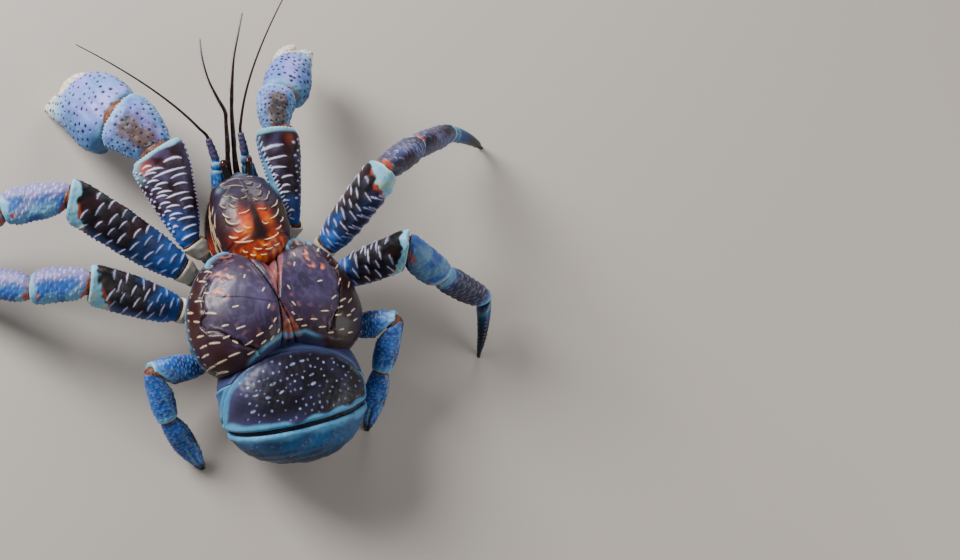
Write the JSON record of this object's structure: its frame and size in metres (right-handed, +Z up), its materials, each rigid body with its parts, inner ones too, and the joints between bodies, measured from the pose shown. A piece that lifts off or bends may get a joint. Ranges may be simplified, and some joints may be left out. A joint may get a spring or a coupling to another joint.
{
  "type": "coconut crab",
  "caption": "Life-size coconut crab standing on its legs, with a broad jointed shell, a round plated tail, stout claws and long thin feelers.",
  "frame": {"origin": "middle of the footprint of the whole crab, feelers included, at floor level", "axes": "+Y towards the head, +X towards the crab's right side, +Z up"},
  "size_m": [0.4359, 0.3025, 0.1253],
  "materials": {
    "head_shell": "glossy living shell, purple-brown with rust-red patches",
    "gill_shell": "glossy living shell, slate purple with maroon margins",
    "tail_dark_shell": "glossy near-black purple shell with pale dots",
    "tail_blue_shell": "glossy blue shell",
    "belly_skin": "tough wrinkled skin",
    "chest_shell": "pale blue-grey shell",
    "mouth_shell": "blue-brown shell with bristles",
    "leg_dark_shell": "near-black purple shell with pale cross ridges",
    "leg_lilac_shell": "lavender blue shell",
    "leg_blue_shell": "bright blue shell",
    "claw_arm_shell": "maroon-purple shell with pale cross ridges",
    "claw_shell": "pale lavender-blue shell with dark bristle tufts",
    "claw_finger_shell": "off-white shell",
    "eye": "glossy dark red-brown",
    "feeler": "dark red-brown"
  },
  "bodies": {
    "root": {"antenna_left": "feeler", "antenna_right": "feeler", "antennule_left": "feeler", "antennule_right": "feeler", "back_plate_front": "gill_shell", "back_plate_rear": "gill_shell", "cheek_left": "head_shell", "cheek_right": "head_shell", "claw_left_carpus": "claw_shell", "claw_left_finger": "claw_finger_shell", "claw_left_merus": "claw_arm_shell", "claw_left_palm": "claw_shell", "claw_right_carpus": "claw_shell", "claw_right_finger": "claw_finger_shell", "claw_right_merus": "claw_arm_shell", "claw_right_palm": "claw_shell", "eye_left": "eye", "eye_right": "eye", "gill_cover_left": "gill_shell", "gill_cover_right": "gill_shell", "head_shield": "head_shell", "leg2_left_carpus": "leg_lilac_shell", "leg2_left_dactyl": "leg_blue_shell", "leg2_left_merus": "leg_dark_shell", "leg2_left_propodus": "leg_lilac_shell", "leg2_right_carpus": "leg_lilac_shell", "leg2_right_dactyl": "leg_blue_shell", "leg2_right_merus": "leg_dark_shell", "leg2_right_propodus": "leg_lilac_shell", "leg3_left_carpus": "leg_lilac_shell", "leg3_left_dactyl": "leg_blue_shell", "leg3_left_merus": "leg_dark_shell", "leg3_left_propodus": "leg_lilac_shell", "leg3_right_carpus": "leg_lilac_shell", "leg3_right_dactyl": "leg_blue_shell", "leg3_right_merus": "leg_dark_shell", "leg3_right_propodus": "leg_lilac_shell", "leg4_left_carpus": "leg_blue_shell", "leg4_left_hand": "leg_blue_shell", "leg4_left_merus": "leg_blue_shell", "leg4_right_carpus": "leg_blue_shell", "leg4_right_hand": "leg_blue_shell", "leg4_right_merus": "leg_blue_shell", "mouth_left": "mouth_shell", "mouth_right": "mouth_shell", "palp_left": "mouth_shell", "palp_right": "mouth_shell", "sternum": "chest_shell", "tail_belly": "belly_skin", "tail_fold": "belly_skin", "tail_plate_back": "tail_dark_shell", "tail_plate_front": "tail_blue_shell", "tail_plate_rear": "tail_blue_shell", "tail_side_left": "tail_blue_shell", "tail_side_right": "tail_blue_shell"}
  },
  "joints": []
}
